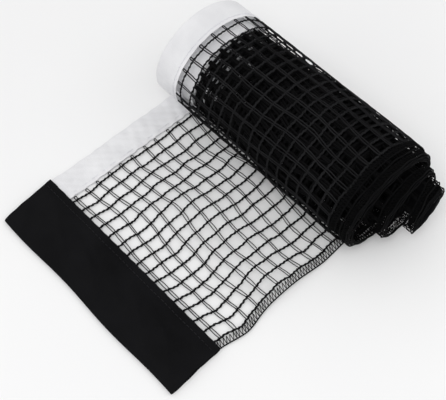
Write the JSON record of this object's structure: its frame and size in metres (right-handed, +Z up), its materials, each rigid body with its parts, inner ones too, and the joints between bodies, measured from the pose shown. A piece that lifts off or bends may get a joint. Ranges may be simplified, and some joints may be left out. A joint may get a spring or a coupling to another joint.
{
  "type": "table tennis net",
  "caption": "Knitted table tennis net with a white top tape and black fabric post sleeves, rolled up for storage with its free end laid flat.",
  "frame": {"origin": "on the table, under the middle of the whole net's footprint", "axes": "+X along the net from the flat end's sleeve to the roll, +Y across the net towards its white top tape, +Z up from the table"},
  "size_m": [0.1998, 0.1806, 0.0624],
  "materials": {
    "chain_yarn": "matt knitted polyester cord",
    "cross_yarn": "matt twisted polyester thread",
    "band_yarn": "matt knitted border",
    "selvage_yarn": "matt knitted cord",
    "netting": "matt knitted netting",
    "white_tape": "plain-woven white tape",
    "white_thread": "sewing thread",
    "sleeve_fabric": "matt plain-woven black fabric",
    "black_thread": "sewing thread"
  },
  "bodies": {
    "rolled_net": {"netting_outer_turn": "netting", "border_band_outer_turn": "band_yarn", "top_tape_outer_turn": "white_tape", "selvage_cord_outer_turn": "selvage_yarn", "netting_outer_bundle": "netting", "border_band_outer_bundle": "band_yarn", "top_tape_outer_bundle": "white_tape", "selvage_cord_outer_bundle": "selvage_yarn", "netting_middle_bundle": "netting", "border_band_middle_bundle": "band_yarn", "top_tape_middle_bundle": "white_tape", "selvage_cord_middle_bundle": "selvage_yarn", "netting_inner_bundle": "netting", "border_band_inner_bundle": "band_yarn", "top_tape_inner_bundle": "white_tape", "selvage_cord_inner_bundle": "selvage_yarn", "tape_stitching_outer_turn": "white_thread", "core_sleeve": "sleeve_fabric"},
    "free_end": {"chain_cord_01": "chain_yarn", "chain_cord_02": "chain_yarn", "chain_cord_03": "chain_yarn", "chain_cord_04": "chain_yarn", "chain_cord_05": "chain_yarn", "chain_cord_06": "chain_yarn", "chain_cord_07": "chain_yarn", "chain_cord_08": "chain_yarn", "chain_cord_09": "chain_yarn", "chain_cord_10": "chain_yarn", "chain_cord_11": "chain_yarn", "chain_cord_12": "chain_yarn", "chain_cord_13": "chain_yarn", "chain_cord_14": "chain_yarn", "chain_cord_15": "chain_yarn", "chain_cord_16": "chain_yarn", "cross_thread_pair_01": "cross_yarn", "cross_thread_pair_02": "cross_yarn", "cross_thread_pair_03": "cross_yarn", "cross_thread_pair_04": "cross_yarn", "cross_thread_pair_05": "cross_yarn", "cross_thread_pair_06": "cross_yarn", "cross_thread_pair_07": "cross_yarn", "cross_thread_pair_08": "cross_yarn", "cross_thread_pair_09": "cross_yarn", "cross_thread_pair_10": "cross_yarn", "border_band": "band_yarn", "selvage_cord": "selvage_yarn", "top_tape": "white_tape", "tape_stitching": "white_thread"},
    "end_sleeve": {"post_sleeve": "sleeve_fabric", "sleeve_stitching": "black_thread", "netting_end_in_sleeve": "netting"}
  },
  "joints": [
    {"name": "free_end_lift", "type": "hinge", "parent": "rolled_net", "child": "free_end", "pos_m": [0.03574, 0.01385, 0.0016], "axis": [0, 1, 0], "range_deg": [0, 50]},
    {"name": "sleeve_fold", "type": "hinge", "parent": "free_end", "child": "end_sleeve", "pos_m": [-0.06126, 0.01385, 0.0031], "axis": [0, 1, 0], "range_deg": [0, 150]}
  ]
}
